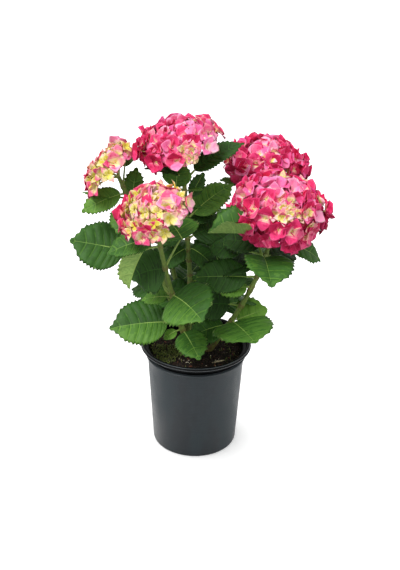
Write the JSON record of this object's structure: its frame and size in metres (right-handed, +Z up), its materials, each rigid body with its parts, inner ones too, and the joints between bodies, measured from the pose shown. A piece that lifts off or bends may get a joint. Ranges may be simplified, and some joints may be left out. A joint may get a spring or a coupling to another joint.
{
  "type": "potted hydrangea shrub",
  "caption": "Leafy garden shrub in a round nursery pot, with rounded mophead blossoms, some open and some still budding, on upright canes.",
  "frame": {"origin": "centre of the pot's flat underside, on the surface it stands on", "axes": "+Z up along the pot's axis, -Y towards the side seen in the picture, +X to the right of that view"},
  "size_m": [0.364, 0.3223, 0.5047],
  "materials": {
    "pot": "satin",
    "soil": "matte",
    "cane": "satin",
    "foliage": "satin",
    "sepals_pink": "matte",
    "sepals_cream": "matte"
  },
  "bodies": {
    "root": {"cane_back_left": "cane", "cane_back_right": "cane", "cane_front_left": "cane", "cane_front_right": "cane", "cane_left": "cane", "cane_middle": "cane", "foliage_back_high": "foliage", "foliage_back_left": "foliage", "foliage_back_left_high": "foliage", "foliage_back_left_inner": "foliage", "foliage_back_left_low": "foliage", "foliage_back_left_side": "foliage", "foliage_back_left_top": "foliage", "foliage_back_low": "foliage", "foliage_back_middle": "foliage", "foliage_back_right": "foliage", "foliage_back_right_far": "foliage", "foliage_back_right_high": "foliage", "foliage_back_right_inner": "foliage", "foliage_back_right_low": "foliage", "foliage_back_right_side": "foliage", "foliage_back_right_top": "foliage", "foliage_behind_left_head": "foliage", "foliage_centre_front": "foliage", "foliage_centre_right": "foliage", "foliage_far_left": "foliage", "foliage_far_right": "foliage", "foliage_front_of_left": "foliage", "foliage_hanging_left": "foliage", "foliage_inner_middle": "foliage", "foliage_inner_right": "foliage", "foliage_inner_right_high": "foliage", "foliage_low_front": "foliage", "foliage_low_inner": "foliage", "foliage_low_left": "foliage", "foliage_low_right": "foliage", "foliage_low_right_side": "foliage", "foliage_right_front": "foliage", "foliage_right_side": "foliage", "foliage_right_side_low": "foliage", "foliage_top_right": "foliage", "foliage_under_back_head": "foliage", "foliage_under_front_head": "foliage", "foliage_under_left_head": "foliage", "foliage_upper_left": "foliage", "foliage_upper_middle": "foliage", "foliage_upper_right": "foliage", "foliage_upright_left": "foliage", "head_back_right": "sepals_pink", "head_front_left": "sepals_cream", "head_front_right": "sepals_pink", "head_left": "sepals_cream", "head_middle": "sepals_pink", "pot": "pot", "soil": "soil"}
  },
  "joints": []
}
